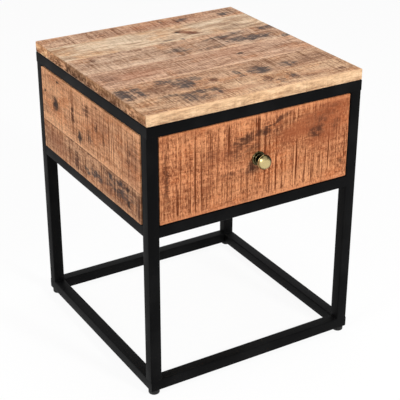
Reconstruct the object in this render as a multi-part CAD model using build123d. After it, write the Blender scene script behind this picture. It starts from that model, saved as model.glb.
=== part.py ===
from build123d import *

import os
from math import asin, cos, floor, sin, sqrt

# Side table with one drawer: a welded frame of square steel tube, a planked wooden top,
# boarded sides and back, and a drawer that runs on telescopic ball slides.
# Millimetres, +Z up, the front faces -Y.  The origin lies on the floor, in the middle of
# the whole footprint with the knob counted in.

# Overall size of the table, without the knob
WIDTH = 400.0
DEPTH = 400.0
HEIGHT = 500.0

# Square steel tube of the frame
TUBE = 20.0
TUBE_WALL = 1.5
TUBE_CORNER = 1.2

# Clear height of the drawer bay, between the middle and the top rails
BAY_HEIGHT = 150.0

# Screw-in feet and the nuts that hold them
FOOT_HEIGHT = 8.0
FOOT_DIAMETER = 19.0
STEM_DIAMETER = 6.0
STEM_PAST_NUT = 2.0
STEM_FIT = 0.05
STEM_HOLE_CLEARANCE = 0.4
NUT_ACROSS_FLATS = 10.0
NUT_HEIGHT = 5.0

# Planked top: two narrower boards in front, full boards behind them, an offcut at the back
TOP_THICKNESS = 18.0
TOP_FRONT_BOARD = 63.0
TOP_BOARD = 75.0
TOP_EASE = 1.2

# Corner plates under the top, welded inside the top ring
PLATE_LEG = 45.0
PLATE_THICKNESS = 3.0

# Boards of the sides and the back
BOARD_PROUD = 1.5
LOWER_BOARD = 53.0
BOARD_END_GAP = 1.0
BOARD_TOP_GAP = 0.6
BOARD_EASE = 0.8

# Welded tabs that hold those boards from inside
TAB_WIDTH = 25.0
TAB_THICKNESS = 3.0
TAB_ON_RAIL = 16.0
TAB_ON_BOARD = 20.0
TAB_INSET = 70.0

# Drawer front and its gaps in the bay
FRONT_THICKNESS = 18.0
FRONT_RECESS = 0.8
FRONT_SIDE_GAP = 1.2
FRONT_TOP_GAP = 1.0
FRONT_BOTTOM_GAP = 1.5
FRONT_EASE = 1.0

# Drawer box
BOX_BOARD = 12.0
BOX_BELOW = 12.0
BOX_ABOVE = 28.0
BOX_PAST_SLIDE = 20.0
BOTTOM_THICKNESS = 4.0
GROOVE_RISE = 8.0
GROOVE_DEPTH = 5.0
GROOVE_PLAY = 0.2

# Telescopic slides, in stock lengths
SLIDE_STEP = 50.0
SLIDE_BACK_ROOM = 40.0
SLIDE_FRONT_GAP = 2.0
SLIDE_THICKNESS = 12.7
SLIDE_HEIGHT = 45.0
SLIDE_OUTER_DEPTH = 10.0
SLIDE_SHEET = 1.2
SLIDE_BEND = 1.2
SLIDE_RUN = 0.3
SLIDE_LIP_GAP = 0.5
SCREW_HEAD_ROOM = 2.8
CAGE_SHEET = 0.6
CAGE_END_MARGIN = 30.0
BALL_DIAMETER = 2.5
BALL_PLAY = 0.15
BALLS_IN_ROW = 4

# Turned brass knob, its rose and its screw
ROSE_DIAMETER = 24.0
ROSE_THICKNESS = 4.0
COLLAR_DIAMETER = 15.0
COLLAR_THICKNESS = 1.5
NECK_DIAMETER = 9.0
NECK_LENGTH = 11.5
NECK_FLARE = 1.5
HEAD_DIAMETER = 25.0
HEAD_RIM = 1.5
HEAD_DOME = 10.0
DOME_BANDS = 6
KNOB_SCREW_DIAMETER = 4.0
KNOB_SCREW_FIT = 0.1
KNOB_SCREW_CLEARANCE = 0.3
KNOB_SCREW_DEPTH = 11.0
SCREW_HEAD_DIAMETER = 8.0
SCREW_HEAD_HEIGHT = 2.6

# Places that follow from the sizes above
knob_reach = ROSE_THICKNESS + COLLAR_THICKNESS + NECK_LENGTH + HEAD_RIM + HEAD_DOME
reach_in_front = knob_reach - FRONT_RECESS
front_y = (reach_in_front - BOARD_PROUD - DEPTH) / 2
back_y = front_y + DEPTH
middle_y = (front_y + back_y) / 2

bottom_ring_z = FOOT_HEIGHT
top_ring_z = HEIGHT - TOP_THICKNESS - TUBE
bay_z = top_ring_z - BAY_HEIGHT
mid_ring_z = bay_z - TUBE
top_z = HEIGHT - TOP_THICKNESS

bay_width = WIDTH - 2 * TUBE
bay_depth = DEPTH - 2 * TUBE
board_thickness = TUBE + BOARD_PROUD

slide_length = SLIDE_STEP * floor((bay_depth - SLIDE_BACK_ROOM) / SLIDE_STEP)
front_back_y = front_y + FRONT_RECESS + FRONT_THICKNESS
slide_y = front_back_y + SLIDE_FRONT_GAP

box_width = bay_width - 2 * SLIDE_THICKNESS
box_inside = box_width - 2 * BOX_BOARD
box_z = bay_z + BOX_BELOW
box_height = BAY_HEIGHT - BOX_BELOW - BOX_ABOVE
box_depth = slide_length + BOX_PAST_SLIDE
slide_z = box_z + box_height / 2

front_height = BAY_HEIGHT - FRONT_TOP_GAP - FRONT_BOTTOM_GAP
front_z = bay_z + FRONT_BOTTOM_GAP
knob_z = front_z + front_height / 2

# The four sides of the frame, named by the way each faces, with the turn about Z from the front
SIDES = {"front": 0, "right": 90, "back": 180, "left": 270}
CORNERS = {
    "front_left": (-1, -1),
    "front_right": (1, -1),
    "back_left": (-1, 1),
    "back_right": (1, 1),
}


def block(x, y, z):
    """Box between two limits on each axis."""
    size = [limit[1] - limit[0] for limit in (x, y, z)]
    centre = [(limit[0] + limit[1]) / 2 for limit in (x, y, z)]
    return Pos(*centre) * Box(*size)


def side_length(side):
    """Outside length of the frame on one side."""
    return WIDTH if side in ("front", "back") else DEPTH


def side_place(side, z):
    """Place on the outside face of one side, local X along it and local Y into the table."""
    half_depth = side_length("left" if side in ("front", "back") else "front") / 2
    return Pos(0, middle_y, z) * Rot(0, 0, SIDES[side]) * Pos(0, -half_depth, 0)


def tube(length):
    """Square tube standing on the XY plane, with a narrow flat along each outer corner."""
    bore = TUBE - 2 * TUBE_WALL
    outside = chamfer(Rectangle(TUBE, TUBE).vertices(), TUBE_CORNER)
    return extrude(outside - Rectangle(bore, bore), length)


def lying_tube(length):
    """Square tube along X, its outside face at Y 0 and its underside at Z 0."""
    return Pos(-length / 2, TUBE / 2, TUBE / 2) * Rot(0, 90, 0) * tube(length)


def mitred_rail(length):
    """Ring rail along X with both ends cut at 45 degrees towards the inside."""
    outline = Polygon(
        (-length / 2, 0),
        (length / 2, 0),
        (length / 2 - TUBE, TUBE),
        (TUBE - length / 2, TUBE),
        align=None,
    )
    return lying_tube(length) & extrude(outline, TUBE)


def corner_place(corner, z):
    """Place on the middle of the leg at one corner."""
    across, along = CORNERS[corner]
    x = across * (WIDTH - TUBE) / 2
    return Pos(x, middle_y + along * (DEPTH - TUBE) / 2, z)


def frame():
    """Two mitred rings, four legs between them and four rails butted between the legs."""
    nodes = {}
    stem_holes = [corner_place(corner, 0) * stem_hole() for corner in CORNERS]
    for side in SIDES:
        ring_rail = mitred_rail(side_length(side))
        nodes[f"top_rail_{side}"] = side_place(side, top_ring_z) * ring_rail
        nodes[f"bottom_rail_{side}"] = side_place(side, bottom_ring_z) * ring_rail - stem_holes
        mid_rail = lying_tube(side_length(side) - 2 * TUBE)
        nodes[f"middle_rail_{side}"] = side_place(side, mid_ring_z) * mid_rail
    leg_z = bottom_ring_z + TUBE
    for corner in CORNERS:
        nodes[f"leg_{corner}"] = corner_place(corner, leg_z) * tube(top_ring_z - leg_z)
    return nodes


def stem_hole():
    """Cutter for the foot's stem, through the lower wall of the bottom ring."""
    radius = STEM_DIAMETER / 2 + STEM_HOLE_CLEARANCE
    lower_wall_top = bottom_ring_z + TUBE / 2
    return Cylinder(radius, lower_wall_top, align=(Align.CENTER, Align.CENTER, Align.MIN))


def foot():
    """Round pad with the stem moulded on it."""
    pad = Cylinder(FOOT_DIAMETER / 2, FOOT_HEIGHT, align=(Align.CENTER, Align.CENTER, Align.MIN))
    stem_length = TUBE_WALL + NUT_HEIGHT + STEM_PAST_NUT
    stem = Cylinder(STEM_DIAMETER / 2, stem_length, align=(Align.CENTER, Align.CENTER, Align.MIN))
    return pad + Pos(0, 0, FOOT_HEIGHT) * stem


def foot_nut():
    """Hexagon nut welded on the inside of the ring's lower wall."""
    hexagon = RegularPolygon(NUT_ACROSS_FLATS / 2, 6, major_radius=False)
    return extrude(hexagon - Circle(STEM_DIAMETER / 2 + STEM_FIT), NUT_HEIGHT)


def feet():
    """One turning foot at each corner, and the nuts in one group."""
    nodes = {f"foot_{corner}": corner_place(corner, 0) * foot() for corner in CORNERS}
    nut_z = bottom_ring_z + TUBE_WALL
    nodes["foot_nuts"] = [corner_place(corner, nut_z) * foot_nut() for corner in CORNERS]
    return nodes


def top_board_edges():
    """Distances of the board edges from the front of the top."""
    edges = [0.0, TOP_FRONT_BOARD, 2 * TOP_FRONT_BOARD]
    while edges[-1] + TOP_BOARD < DEPTH:
        edges.append(edges[-1] + TOP_BOARD)
    return edges + [DEPTH]


def top_boards():
    """The glued slab with eased edges, cut into its boards."""
    x = (-WIDTH / 2, WIDTH / 2)
    slab = block(x, (front_y, back_y), (top_z, HEIGHT))
    slab = chamfer(slab.edges(), TOP_EASE)
    edges = [front_y + edge for edge in top_board_edges()]
    nodes = {}
    for number, y in enumerate(zip(edges, edges[1:]), start=1):
        nodes[f"top_board_{number}"] = slab & block(x, y, (top_z, HEIGHT))
    return nodes


def corner_plates():
    """Triangles in the corners of the top ring, clear of the flats along its upper edges."""
    outline = Polygon((0, 0), (PLATE_LEG, 0), (0, PLATE_LEG), align=None)
    plate_z = top_z - TUBE_CORNER - PLATE_THICKNESS
    plate = extrude(outline, PLATE_THICKNESS)
    plates = []
    for across, along in CORNERS.values():
        turned = plate if across < 0 else mirror(plate, about=Plane.YZ)
        turned = turned if along < 0 else mirror(turned, about=Plane.XZ)
        y = middle_y + along * bay_depth / 2
        plates.append(Pos(across * bay_width / 2, y, plate_z) * turned)
    return {"top_corner_plates": plates}


def boarded_side(side):
    """Upper and lower board of one side, standing on the middle rail and proud of the frame."""
    half_length = side_length(side) / 2 - TUBE - BOARD_END_GAP
    x = (-half_length, half_length)
    y = (-BOARD_PROUD, board_thickness - BOARD_PROUD)
    top = BAY_HEIGHT - BOARD_TOP_GAP
    panel = block(x, y, (0, top))
    panel = chamfer(panel.faces().sort_by(Axis.Y)[0].edges(), BOARD_EASE)
    place = side_place(side, bay_z)
    return {
        f"{side}_board_lower": place * (panel & block(x, y, (0, LOWER_BOARD))),
        f"{side}_board_upper": place * (panel & block(x, y, (LOWER_BOARD, top))),
    }


def tab():
    """Flat tab with its lower end on a rail and its upper end against a board."""
    x = (-TAB_WIDTH / 2, TAB_WIDTH / 2)
    return block(x, (0, TAB_THICKNESS), (-TAB_ON_RAIL, TAB_ON_BOARD))


def board_tabs(side):
    """Two tabs up from the middle rail and two down from the top rail of one side."""
    along = side_length(side) / 2 - TUBE - TAB_INSET
    upright = tab()
    hanging = mirror(upright, about=Plane.XY)
    tabs = []
    for x in (-along, along):
        tabs.append(side_place(side, bay_z) * Pos(x, TUBE, 0) * upright)
        tabs.append(side_place(side, top_ring_z) * Pos(x, TUBE, 0) * hanging)
    return {f"{side}_board_tabs": tabs}


def knob_screw_hole():
    """Cutter along the knob's axis through the drawer front and the rose."""
    radius = KNOB_SCREW_DIAMETER / 2 + KNOB_SCREW_CLEARANCE
    length = 2 * (FRONT_THICKNESS + BOX_BOARD + ROSE_THICKNESS + COLLAR_THICKNESS)
    return Pos(0, front_y, knob_z) * Rot(90, 0, 0) * Cylinder(radius, length)


def drawer_front():
    """Single inset board, a little behind the frame, with eased edges round its face."""
    half_width = bay_width / 2 - FRONT_SIDE_GAP
    y = (front_back_y - FRONT_THICKNESS, front_back_y)
    board = block((-half_width, half_width), y, (front_z, front_z + front_height))
    board = chamfer(board.faces().sort_by(Axis.Y)[0].edges(), FRONT_EASE)
    return board - knob_screw_hole()


def drawer_box():
    """Sides, inner front and back butted between them, and a bottom held in grooves."""
    z = (box_z, box_z + box_height)
    box_back_y = front_back_y + box_depth
    groove_z = box_z + GROOVE_RISE
    groove = block(
        (-box_inside / 2 - GROOVE_DEPTH, box_inside / 2 + GROOVE_DEPTH),
        (front_back_y + BOX_BOARD - GROOVE_DEPTH, box_back_y),
        (groove_z, groove_z + BOTTOM_THICKNESS + GROOVE_PLAY),
    )
    left = block((-box_width / 2, -box_inside / 2), (front_back_y, box_back_y), z) - groove
    inner_x = (-box_inside / 2, box_inside / 2)
    inner_front = block(inner_x, (front_back_y, front_back_y + BOX_BOARD), z) - groove
    bottom_reach = box_inside / 2 + GROOVE_DEPTH - GROOVE_PLAY
    bottom = block(
        (-bottom_reach, bottom_reach),
        (front_back_y + BOX_BOARD - GROOVE_DEPTH + GROOVE_PLAY, box_back_y),
        (groove_z, groove_z + BOTTOM_THICKNESS),
    )
    back_z = (groove_z + BOTTOM_THICKNESS, z[1])
    return {
        "drawer_side_left": left,
        "drawer_side_right": mirror(left, about=Plane.YZ),
        "drawer_inner_front": inner_front - knob_screw_hole(),
        "drawer_back": block(inner_x, (box_back_y - BOX_BOARD, box_back_y), back_z),
        "drawer_bottom": bottom,
    }


def channel_line(web, tip, half_height, sheet, lip_end=None):
    """Points along the middle of a channel's sheet, from the upper flange round to the lower."""
    inward = 1 if tip > web else -1
    web_line = web + inward * sheet / 2
    flange_line = half_height - sheet / 2
    tip_line = tip if lip_end is None else tip - inward * sheet / 2
    upper = [(tip_line, flange_line), (web_line, flange_line)]
    if lip_end is not None:
        upper.insert(0, (tip_line, lip_end))
    return upper + [(x, -z) for x, z in reversed(upper)]


def slide_section(web, tip, half_height, lip_end=None):
    """Rolled channel: the web's outside face and the flange tips are given along X."""
    points = channel_line(web, tip, half_height, SLIDE_SHEET, lip_end)
    return trace(FilletPolyline(*points, radius=SLIDE_BEND), SLIDE_SHEET)


def cage_section(web, tip, row_z):
    """Thin strip folded square, with the balls' rows in the middle of its flanges."""
    points = channel_line(web, tip, row_z + CAGE_SHEET / 2, CAGE_SHEET)
    return trace(Polyline(*points), CAGE_SHEET)


def along_slide(section, start, length):
    """Section drawn in X and Z, run backwards from a place along the left slide."""
    bar = Rot(90, 0, 0) * extrude(section, length)
    return Pos(-bay_width / 2, slide_y + start + length, slide_z) * bar


def ball(x, y, z):
    """Bearing ball with flats in place of its round surface."""
    cube = Box(BALL_DIAMETER, BALL_DIAMETER, BALL_DIAMETER)
    flats = BALL_DIAMETER * (1 - 1 / sqrt(2))
    return Pos(x, y, z) * chamfer(cube.edges(), flats)


def ball_cage(web, tip, row_z):
    """Bent strip with open pockets along both edges, and the balls that it spaces."""
    length = slide_length / 2 - CAGE_END_MARGIN
    start = (slide_length - length) / 2
    cage = along_slide(cage_section(web, tip, row_z), start, length)
    ball_x = tip - SLIDE_RUN - BALL_DIAMETER / 2 - bay_width / 2
    pocket = BALL_DIAMETER + 2 * BALL_PLAY
    pocket_depth = 2 * (tip - bay_width / 2 - ball_x) + SLIDE_RUN
    pitch = length / BALLS_IN_ROW
    balls = []
    for number in range(BALLS_IN_ROW):
        y = slide_y + start + (number + 0.5) * pitch
        for z in (slide_z - row_z, slide_z + row_z):
            cage -= Pos(ball_x, y, z) * Box(pocket_depth, pocket, pocket)
            balls.append(ball(ball_x, y, z))
    return [cage] + balls


def left_slide():
    """Cabinet, middle and drawer members nested in one another, with a ball cage in each gap."""
    outer_half = SLIDE_HEIGHT / 2
    row_step = SLIDE_SHEET + BALL_PLAY + BALL_DIAMETER / 2
    outer_row = outer_half - row_step
    middle_half = outer_row - BALL_PLAY - BALL_DIAMETER / 2
    inner_row = middle_half - row_step
    drawer_half = inner_row - BALL_PLAY - BALL_DIAMETER / 2
    middle_web = SLIDE_SHEET + SCREW_HEAD_ROOM + CAGE_SHEET + SLIDE_RUN
    middle_tip = SLIDE_THICKNESS - SLIDE_SHEET - SLIDE_RUN
    outer_cage_web = middle_web - SLIDE_RUN - CAGE_SHEET
    outer_cage_tip = SLIDE_OUTER_DEPTH - SLIDE_SHEET - SLIDE_RUN
    inner_cage_web = middle_web + SLIDE_SHEET + SLIDE_RUN
    inner_cage_tip = middle_tip - SLIDE_SHEET - SLIDE_RUN
    drawer_tip = inner_cage_web + CAGE_SHEET + 2 * SLIDE_RUN
    cabinet = slide_section(0, SLIDE_OUTER_DEPTH, outer_half, middle_half + SLIDE_LIP_GAP)
    middle = slide_section(middle_web, middle_tip, middle_half, drawer_half + SLIDE_LIP_GAP)
    drawer = slide_section(SLIDE_THICKNESS, drawer_tip, drawer_half)
    return {
        "cabinet": along_slide(cabinet, 0, slide_length),
        "outer_cage": ball_cage(outer_cage_web, outer_cage_tip, outer_row),
        "middle": along_slide(middle, 0, slide_length),
        "inner_cage": ball_cage(inner_cage_web, inner_cage_tip, inner_row),
        "drawer": along_slide(drawer, 0, slide_length),
    }


def mirrored(shape):
    """The same piece, or group of pieces, on the other side of the table."""
    if isinstance(shape, list):
        return [mirror(piece, about=Plane.YZ) for piece in shape]
    return mirror(shape, about=Plane.YZ)


def slides():
    """The left slide and its mirror image."""
    nodes = {}
    for name, shape in left_slide().items():
        nodes[f"slide_left_{name}"] = shape
        nodes[f"slide_right_{name}"] = mirrored(shape)
    return nodes


def turned(profile):
    """Revolve a profile of radius and outward distance about the knob's axis."""
    place = Pos(0, front_y + FRONT_RECESS, knob_z) * Rot(90, 0, 0)
    return place * revolve(Plane.XZ * profile, Axis.Z)


def knob_rose():
    """Round back plate with a raised collar round the neck."""
    plate = ROSE_DIAMETER / 2
    collar = COLLAR_DIAMETER / 2
    collar_top = ROSE_THICKNESS + COLLAR_THICKNESS
    outline = Polygon(
        (0, 0),
        (plate, 0),
        (plate, ROSE_THICKNESS),
        (collar, ROSE_THICKNESS),
        (collar, collar_top),
        (0, collar_top),
        align=None,
    )
    return turned(outline) - knob_screw_hole()


def knob():
    """Mushroom knob: a straight neck that flares under the head, a thin rim and a dome in bands."""
    neck = NECK_DIAMETER / 2
    head = HEAD_DIAMETER / 2
    base = ROSE_THICKNESS + COLLAR_THICKNESS
    underside = base + NECK_LENGTH
    crown = underside + HEAD_RIM + HEAD_DOME
    cap = (head**2 + HEAD_DOME**2) / (2 * HEAD_DOME)
    band_turns = [asin(head / cap) * (1 - band / DOME_BANDS) for band in range(DOME_BANDS + 1)]
    bore = KNOB_SCREW_DIAMETER / 2 + KNOB_SCREW_FIT
    bore_end = base + KNOB_SCREW_DEPTH
    outline = Polygon(
        (bore, base),
        (neck, base),
        (neck, underside - NECK_FLARE),
        (neck + NECK_FLARE, underside),
        (head, underside),
        *[(cap * sin(turn), crown - cap * (1 - cos(turn))) for turn in band_turns],
        (0, bore_end),
        (bore, bore_end),
        align=None,
    )
    return turned(outline)


def knob_screw():
    """Machine screw from inside the drawer, through both fronts and the rose into the knob."""
    radius = KNOB_SCREW_DIAMETER / 2
    seat = -FRONT_THICKNESS - BOX_BOARD
    tip = ROSE_THICKNESS + COLLAR_THICKNESS + KNOB_SCREW_DEPTH - KNOB_SCREW_FIT
    outline = Polygon(
        (0, seat - SCREW_HEAD_HEIGHT),
        (SCREW_HEAD_DIAMETER / 2, seat - SCREW_HEAD_HEIGHT),
        (SCREW_HEAD_DIAMETER / 2, seat),
        (radius, seat),
        (radius, tip),
        (0, tip),
        align=None,
    )
    return turned(outline)


def table():
    """Every node of the table, by name."""
    nodes = {**frame(), **feet(), **top_boards(), **corner_plates()}
    for side in ("left", "right", "back"):
        nodes.update(boarded_side(side))
        nodes.update(board_tabs(side))
    nodes.update(slides())
    nodes["drawer_front"] = drawer_front()
    nodes.update(drawer_box())
    nodes["knob_rose"] = knob_rose()
    nodes["knob"] = knob()
    nodes["knob_screw"] = knob_screw()
    return nodes


os.makedirs("parts", exist_ok=True)
for name, shape in table().items():
    pieces = shape if isinstance(shape, list) else [shape]
    solids = [solid for piece in pieces for solid in piece.solids()]
    export_step(Compound(children=solids), f"parts/{name}.step")
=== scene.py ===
import math

import bmesh
import bpy
import numpy as np
from mathutils import Matrix, Vector


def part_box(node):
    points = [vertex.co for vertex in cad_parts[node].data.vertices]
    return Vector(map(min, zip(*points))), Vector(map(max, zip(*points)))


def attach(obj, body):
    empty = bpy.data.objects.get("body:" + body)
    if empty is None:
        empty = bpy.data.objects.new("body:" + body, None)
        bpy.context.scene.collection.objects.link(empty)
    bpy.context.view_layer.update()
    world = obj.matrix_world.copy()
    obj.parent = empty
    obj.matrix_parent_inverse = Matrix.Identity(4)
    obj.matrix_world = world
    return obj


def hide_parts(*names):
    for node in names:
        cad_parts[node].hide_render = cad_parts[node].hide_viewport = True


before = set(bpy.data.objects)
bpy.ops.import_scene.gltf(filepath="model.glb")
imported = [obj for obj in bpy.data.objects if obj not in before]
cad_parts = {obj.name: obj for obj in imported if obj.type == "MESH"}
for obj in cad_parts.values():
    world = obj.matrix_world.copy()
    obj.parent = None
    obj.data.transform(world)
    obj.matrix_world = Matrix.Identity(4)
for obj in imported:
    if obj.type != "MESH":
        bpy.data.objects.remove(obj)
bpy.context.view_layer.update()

bl_info = {
    "name": "Side table with drawer",
    "version": (1, 0, 0),
    "blender": (4, 5, 0),
    "location": "3D View > Sidebar > Table",
    "description": "Sawn boards, black tube frame, brass knob and studio for the side table",
    "category": "Object",
}

MM = 0.001

# Points closer together than this are one point
SAME_POINT = 0.001 * MM

# Angles in degrees above which an edge is shaded sharp
SHARP_SCREW = 25
SHARP_METAL = 35
SHARP_WOOD = 50
SHARP_WELD = 60

# Faces round a screw head, a thread, a weld bead, a foot and one corner of a tube
SCREW_SIDES = 32
THREAD_SIDES = 20
BEAD_SIDES = 10
FOOT_SIDES = 48
CORNER_SIDES = 5

# How far weld beads stop short of the tube's edges, and how far apart their rings of points are
BEAD_MARGIN = 3 * MM
BEAD_STEP = 0.9 * MM

# Boards: rounding of the rear edges, how far rubbing reaches in from the edges and the ends,
# where the saw marks reach full depth, and how rubbed a glued edge and an end are
REAR_EASE = 0.5 * MM
NEAR_EDGE = 2.0 * MM
RUBBED_END = 1.5 * MM
MARKS_START = 3 * MM
GLUED_RUB = 0.45
END_RUB = 0.6

# A stain is full up to the core and gone at the rim, as shares of its half size, and goes right through
STAIN_CORE = 0.3
STAIN_RIM = 1.5
RIGHT_THROUGH = 1000.0

# How much of the floor that the eye sees is plain white; the rest is lit cloth
FLOOR_WHITE = 0.93

# Which axis of the table is the grain, the board's width and its thickness, and the way the face looks
TOP_LIE = ((0, 1, 2), 1)
LEFT_LIE = ((1, 2, 0), -1)
RIGHT_LIE = ((1, 2, 0), 1)
BACK_LIE = ((0, 2, 1), 1)
FRONT_LIE = ((0, 2, 1), -1)

TOP_BOARDS = [f"top_board_{number}" for number in range(1, 7)]
SIDE_BOARDS = {
    "left_board_upper": LEFT_LIE,
    "left_board_lower": LEFT_LIE,
    "right_board_upper": RIGHT_LIE,
    "right_board_lower": RIGHT_LIE,
    "back_board_upper": BACK_LIE,
    "back_board_lower": BACK_LIE,
}
CORNERS = ("front_left", "front_right", "back_left", "back_right")
CASE_SIDES = ("left", "right", "back")

# The axis that the rails of each side run along
RUNS = {"front": 0, "right": 1, "back": 0, "left": 1}

# How rough the saw left each board of the top, and how light its end is
TOP_SAWING = {1: 0.85, 2: 0.8, 3: 0.65, 4: 0.65, 5: 0.32, 6: 1.0}
END_TONES = {1: 1.2, 2: 0.85, 3: 1.05, 4: 0.7, 5: 1.25, 6: 2.0}

# What marks each board: three colours of stain, with one brown mark on the drawer front that is a
# painted shadow of the knob, places that the saw left smooth, knots, single dark saw marks, places
# with strong saw marks and paler wood. Each mark is, in millimetres and degrees:
# along the grain, across it, half length, half width, turn, depth of tone
BURNT = {
    "top_board_1": [
        (-130, -133, 22, 7, 0, 0.7), (-104, -152, 18, 22, 0, 0.8), (-76, -138, 26, 9, 0, 0.75),
        (-82, -165, 22, 11, 0, 0.6), (-54, -148, 11, 18, 0, 0.7), (58, -162, 8, 14, 0, 0.7),
        (86, -154, 11, 15, 0, 0.65),
    ],
    "top_board_2": [
        (-188, -97, 18, 26, 0, 1.0), (-164, -93, 9, 28, 0, 1.0), (-108, -76, 20, 10, 0, 0.9),
        (-85, -98, 19, 25, -12, 1.0), (-60, -86, 13, 12, 0, 0.85), (14, -102, 6, 20, 0, 0.85),
        (54, -106, 24, 16, 0, 1.0), (110, -103, 22, 13, 0, 0.85),
    ],
    "top_board_4": [
        (128, 42, 48, 15, -4, 1.0), (160, 37, 16, 10, 0, 0.8), (186, 75, 22, 8, 0, 1.0),
        (194, 19, 12, 12, 0, 1.0), (98, 71, 56, 8, 6, 0.75), (-8, 45, 30, 15, 0, 0.6),
        (34, 27, 52, 7, 0, 0.6),
    ],
    "top_board_5": [
        (0, 98, 15, 2.6, 4, 0.9), (27, 91, 11, 3, -20, 0.9), (-19, 89, 9, 3, 12, 0.8),
        (-122, 122, 30, 9, 0, 0.2),
    ],
    "top_board_6": [(76, 189, 17, 10, 15, 0.85), (166, 182, 20, 10, 0, 0.8), (35, 194, 5, 11, 0, 0.6)],
    "left_board_lower": [
        (-14, 335, 24, 9, 0, 0.9), (20, 331, 10, 5, 20, 0.9), (-65, 353, 10, 6, 0, 0.8),
        (-98, 357, 14, 5, 0, 0.9), (-102, 341, 62, 13, 0, 0.55),
    ],
    "right_board_lower": [(60, 340, 30, 9, 0, 0.7), (-90, 350, 16, 7, 0, 0.8)],
    "back_board_upper": [(110, 425, 24, 10, 0, 0.7), (-60, 395, 34, 7, 4, 0.6)],
}
BROWN = {
    "top_board_1": [
        (42, -148, 10, 14, 0, 0.8), (174, -163, 11, 6, 0, 0.8), (-181, -150, 8, 14, 0, 0.5),
        (110, -166, 16, 6, 0, 0.5), (-110, -150, 60, 22, 0, 0.4),
    ],
    "top_board_2": [
        (-35, -107, 11, 8, 0, 0.8), (-120, -100, 50, 22, 0, 0.5), (165, -95, 40, 20, 0, 0.45),
        (80, -90, 50, 24, 0, 0.35),
    ],
    "top_board_3": [
        (-182, -22, 28, 28, 0, 0.5), (-50, -48, 50, 10, 0, 0.4), (120, -18, 66, 28, 0, 0.35),
    ],
    "top_board_4": [(-160, 72, 10, 12, 0, 0.65), (84, 61, 18, 7, 0, 0.8), (120, 50, 80, 30, 0, 0.4)],
    "top_board_5": [(56, 114, 15, 9, -38, 0.8), (45, 124, 18, 8, -42, 0.5), (148, 116, 8, 8, 20, 0.5)],
    "top_board_6": [(-70, 184, 46, 20, 0, 0.45), (150, 200, 44, 9, 0, 0.4)],
    "left_board_upper": [
        (137, 410, 20, 18, 0, 0.5), (69, 412, 7, 18, 0, 0.75), (17, 439, 18, 11, 0, 0.75),
        (-19, 421, 6, 12, 0, 0.85), (-20, 456, 6, 4, 0, 0.8), (8, 395, 9, 16, 0, 0.7),
        (-44, 410, 4, 11, 0, 0.85), (-130, 412, 7, 38, 0, 0.65), (-150, 418, 12, 38, 0, 0.5),
        (-70, 430, 100, 34, 0, 0.25),
    ],
    "left_board_lower": [
        (60, 333, 13, 19, 0, 1.0), (-160, 336, 9, 25, 0, 0.8), (120, 335, 76, 20, 0, 0.3),
        (10, 364.5, 190, 1.8, 0, 1.0), (-95, 356, 80, 8, 0, 0.8), (-80, 335, 90, 20, 0, 0.5),
    ],
    "right_board_upper": [(95, 398, 40, 7, 3, 0.6), (20, 440, 9, 12, 0, 0.7)],
    "right_board_lower": [(10, 364.5, 190, 1.8, 0, 1.0), (-40, 335, 60, 16, 0, 0.4)],
    "back_board_lower": [(0, 364.5, 190, 1.8, 0, 1.0), (40, 345, 50, 7, 0, 0.6)],
    "drawer_front": [
        (-27, 423, 24, 11, 14, 1.0), (-30, 408, 38, 18, 6, 0.6), (12, 431, 20, 8, 16, 1.0),
        # The mark at (-16, 373), below and left of the knob, is a painted shadow of the knob, not a stain
        (42, 446, 26, 4, 24, 0.9), (40, 428, 40, 9, 20, 0.45), (-16, 373, 13, 12, 0, 0.75),
        (113, 409, 16, 12, 10, 0.9), (123, 426, 14, 16, 0, 0.6), (152, 414, 12, 14, 0, 0.5),
        (140, 442, 26, 10, 20, 0.4), (118, 434, 40, 24, 12, 0.35), (-167, 385, 5, 56, 0, 0.6),
        (-45, 371, 48, 3, 3, 0.45), (-85, 410, 20, 13, 0, 0.4), (-30, 412, 60, 26, 8, 0.25),
    ],
}
RUSSET = {
    "top_board_1": [(-30, -160, 70, 12, 0, 0.5), (120, -158, 60, 12, 0, 0.4)],
    "top_board_3": [(-130, -25, 60, 20, 0, 0.5), (60, -10, 60, 16, 0, 0.4)],
    "top_board_5": [(50, 121, 24, 9, -36, 1.0)],
    "top_board_6": [(20, 186, 120, 16, 0, 0.5)],
    "left_board_upper": [(-20, 420, 60, 30, 0, 0.4), (-140, 400, 40, 36, 0, 0.5)],
    "left_board_lower": [(140, 338, 40, 22, 0, 0.6), (-60, 330, 60, 14, 0, 0.4)],
    "drawer_front": [
        (95, 424, 66, 18, 13, 1.0), (150, 438, 34, 24, 8, 1.0), (10, 405, 50, 18, 8, 0.2),
        (130, 420, 46, 40, 0, 0.9), (-60, 408, 44, 16, 10, 0.5),
    ],
}
SMOOTH = {
    "drawer_front": [(98, 426, 58, 15, 13, 1.0), (152, 440, 28, 16, 8, 0.9), (0, 317, 185, 5, 0, 0.9)],
}
KNOTS = {
    "top_board_3": [(70, -22, 8, 3, 4, 1.0)],
    "top_board_5": [(36, 131, 6, 5, 0, 0.85)],
    "left_board_upper": [
        (137, 410, 10, 12, 0, 1.0), (44, 382, 8, 12, 0, 1.0), (125, 453, 4, 3, 0, 0.9),
        (181, 420, 3, 3, 0, 0.8),
    ],
    "left_board_lower": [(-125, 355, 7, 6, 0, 1.0), (-127, 331, 5, 7, 0, 1.0)],
    "right_board_upper": [(-70, 420, 11, 8, 0, 1.0)],
    "back_board_lower": [(-110, 336, 12, 9, 0, 1.0)],
    "drawer_front": [
        (164, 345, 5, 4, 0, 0.6), (12, 431, 15, 6, 16, 0.55), (-26, 424, 13, 8, 14, 0.5),
        (114, 410, 16, 13, 0, 0.3),
    ],
}
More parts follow.
